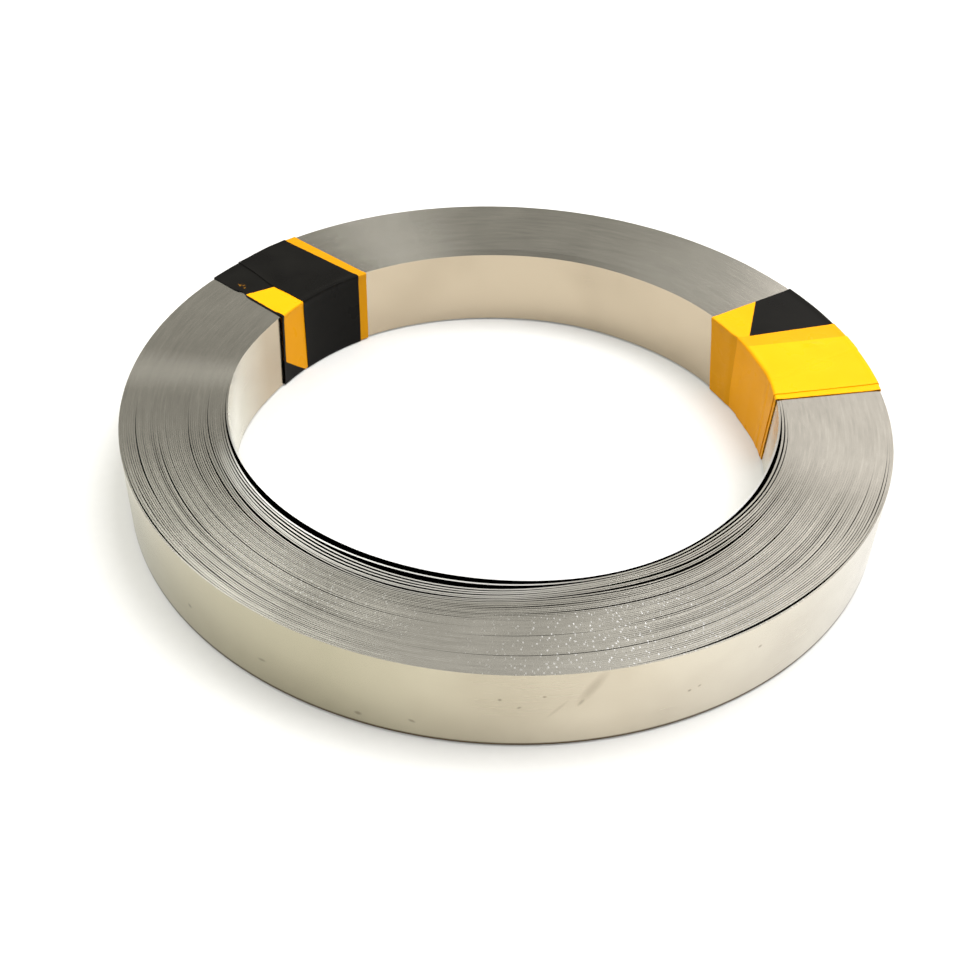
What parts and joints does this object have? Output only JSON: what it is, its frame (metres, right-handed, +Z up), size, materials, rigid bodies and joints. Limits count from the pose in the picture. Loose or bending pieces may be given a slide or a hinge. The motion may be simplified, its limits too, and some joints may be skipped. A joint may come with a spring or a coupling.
{
  "type": "nickel-plated strip coil",
  "caption": "Flat coil of nickel-plated steel strip with an open bore, held wound by lapped wraps of black and yellow hazard tape.",
  "frame": {"origin": "on the coil's axis, on the surface that the coil lies on", "axes": "+Z up along the coil's axis, +X to the right and +Y away from the viewer in the picture"},
  "size_m": [0.0712, 0.0712, 0.0084],
  "materials": {
    "nickel_plate": "bright nickel plate on the faces of the strip, grey slit edges on the ends of the coil",
    "hazard_tape_black": "semi-gloss plastic tape with yellow diagonal stripes",
    "hazard_tape_yellow": "semi-gloss plastic tape with black diagonal stripes"
  },
  "bodies": {
    "root": {"strip_coil": "nickel_plate", "tape_wrap_left": "hazard_tape_black", "tape_wrap_right": "hazard_tape_yellow"}
  },
  "joints": []
}
